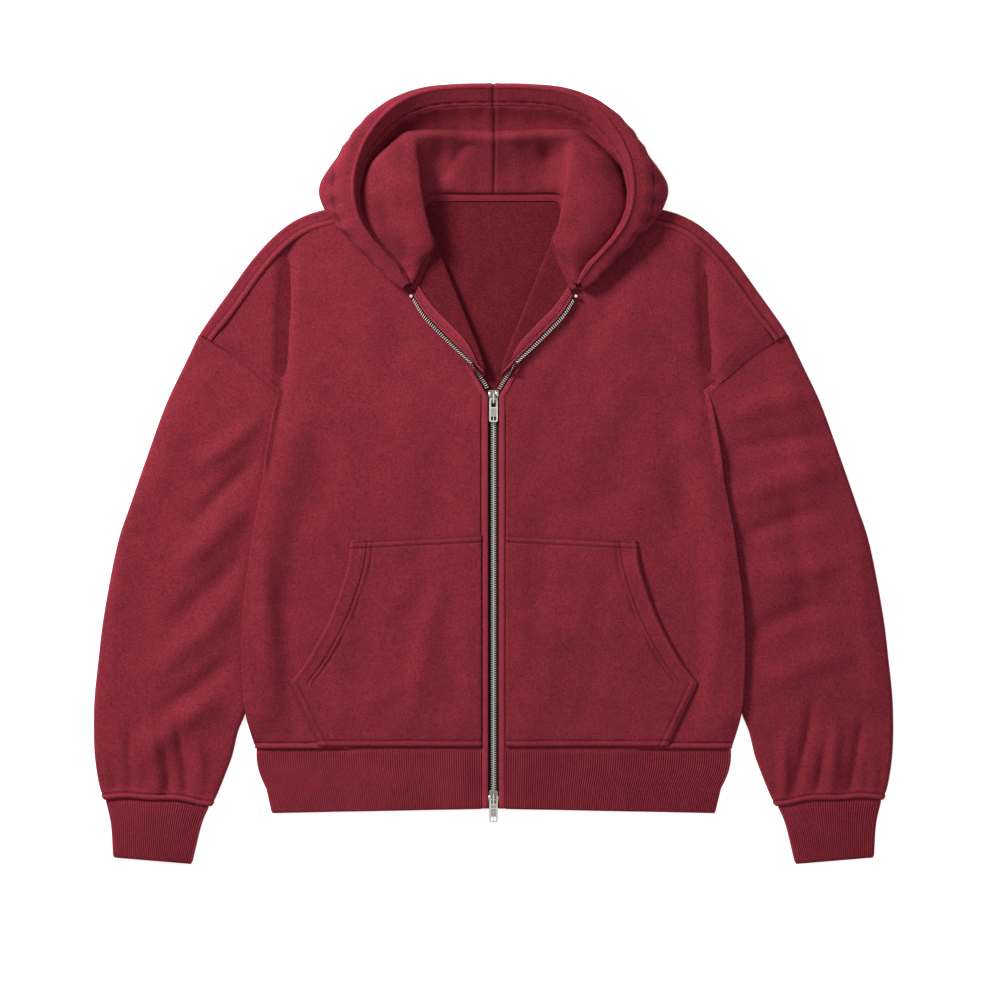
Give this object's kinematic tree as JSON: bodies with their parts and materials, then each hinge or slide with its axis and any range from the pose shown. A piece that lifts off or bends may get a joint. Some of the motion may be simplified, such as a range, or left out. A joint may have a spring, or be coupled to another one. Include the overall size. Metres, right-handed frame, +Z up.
{
  "type": "zip up hoodie",
  "caption": "Full-zip fleece hoodie laid flat on its back, two-way metal zip open at the neck as a V, hood collapsed, split kangaroo pocket, ribbed cuffs and hem.",
  "frame": {"origin": "middle of the footprint, on the surface that the garment lies on", "axes": "+X towards the wearer's left sleeve, +Y from the hem towards the hood, +Z up from the surface, out of the garment's front"},
  "size_m": [0.883, 0.8584, 0.0344],
  "materials": {
    "fleece": "garment-dyed burgundy fleece, smooth face and brushed inside",
    "rib": "burgundy rib knit",
    "trim": "burgundy woven tape",
    "zip_teeth": "antique nickel teeth",
    "zip_metal": "antique nickel, slightly worn"
  },
  "bodies": {
    "garment": {"back": "fleece", "front_left": "fleece", "front_right": "fleece", "sleeve_left": "fleece", "sleeve_right": "fleece", "pocket_left": "fleece", "pocket_right": "fleece", "hood_outer_left": "fleece", "hood_outer_right": "fleece", "hood_lining_left": "fleece", "hood_lining_right": "fleece", "placket_left": "fleece", "placket_right": "fleece", "cuff_left": "rib", "cuff_right": "rib", "hem_rib": "rib", "neck_tape": "trim", "facing_left": "trim", "facing_right": "trim", "zip_tape_left": "trim", "zip_tape_right": "trim", "zip_teeth_left": "zip_teeth", "zip_teeth_right": "zip_teeth", "zip_chain": "zip_teeth", "top_stop_left": "zip_metal", "top_stop_right": "zip_metal", "zip_box": "zip_metal", "slider_top": "zip_metal", "slider_bottom": "zip_metal"},
    "pull_top": {"pull_top": "zip_metal"},
    "pull_bottom": {"pull_bottom": "zip_metal"}
  },
  "joints": [
    {"name": "pull_top_hinge", "type": "hinge", "parent": "garment", "child": "pull_top", "pos_m": [0, 0.0835, 0.0103], "axis": [-1, 0, 0], "range_deg": [0, 150]},
    {"name": "pull_bottom_hinge", "type": "hinge", "parent": "garment", "child": "pull_bottom", "pos_m": [0, -0.357, 0.0103], "axis": [-1, 0, 0], "range_deg": [0, 150]}
  ]
}
